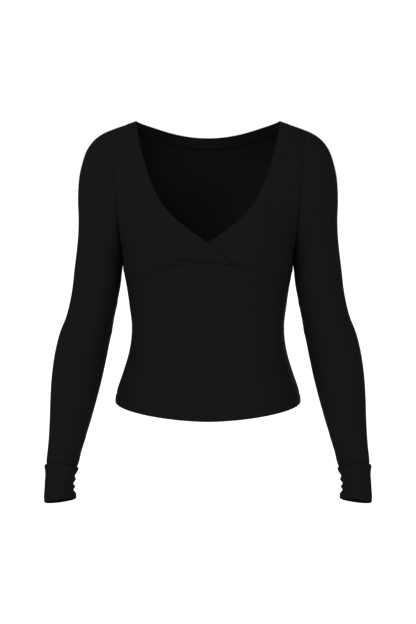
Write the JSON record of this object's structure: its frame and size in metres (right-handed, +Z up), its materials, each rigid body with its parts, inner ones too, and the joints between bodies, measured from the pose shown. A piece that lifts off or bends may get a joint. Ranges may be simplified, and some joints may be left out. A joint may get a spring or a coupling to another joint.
{
  "type": "wrap top",
  "caption": "Long-sleeved wrap top of plain jersey, hollow as worn, with crossed front cups, a neckband, a seam under the bust and long gathered cuffs",
  "frame": {"origin": "midway between the two high points of the shoulders, at the neckband's free edge, where the wearer's shoulders hold the top", "axes": "+Z up, -Y is the front, +X is the wearer's left"},
  "size_m": [0.56, 0.214, 0.6529],
  "materials": {
    "body_jersey": "matte black stretch jersey",
    "band_jersey": "matte black stretch jersey, doubled"
  },
  "bodies": {
    "root": {"back": "body_jersey", "front_lower": "body_jersey", "front_right": "body_jersey", "front_left": "body_jersey", "neckband": "band_jersey", "sleeve_left": "body_jersey", "sleeve_right": "body_jersey", "cuff_left": "band_jersey", "cuff_right": "band_jersey"}
  },
  "joints": []
}
